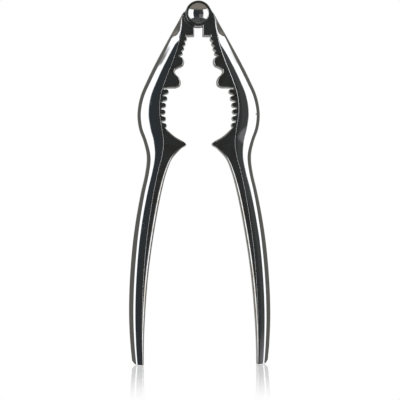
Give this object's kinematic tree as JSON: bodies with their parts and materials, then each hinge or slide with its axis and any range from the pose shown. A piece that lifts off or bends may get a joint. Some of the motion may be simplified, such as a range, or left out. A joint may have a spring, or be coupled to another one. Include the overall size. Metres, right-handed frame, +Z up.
{
  "type": "nutcracker",
  "caption": "Chrome-plated hand nutcracker with two cast arms, toothed jaws for large and small nuts, curved handles and a domed hinge rivet.",
  "frame": {"origin": "on the floor, midway between the two handle tips and straight below the pivot axis", "axes": "+Z up from the tips to the hinge, along the length; +X to the fork arm; the pivot axis lies along Y, and -Y is the front with the rivet's own head"},
  "size_m": [0.0708, 0.0154, 0.1817],
  "materials": {
    "plated_casting_right": "polished",
    "plated_casting_left": "polished",
    "polished_rivet": "polished",
    "polished_rivet_cap": "polished"
  },
  "bodies": {
    "fork_side": {"fork_arm": "plated_casting_right", "pivot_rivet": "polished_rivet", "rivet_cap": "polished_rivet_cap"},
    "tongue_side": {"tongue_arm": "plated_casting_left"}
  },
  "joints": [
    {"name": "jaw_hinge", "type": "hinge", "parent": "fork_side", "child": "tongue_side", "pos_m": [0, 0, 0.175], "axis": [0, 1, 0], "range_deg": [-10.5, 110]}
  ]
}
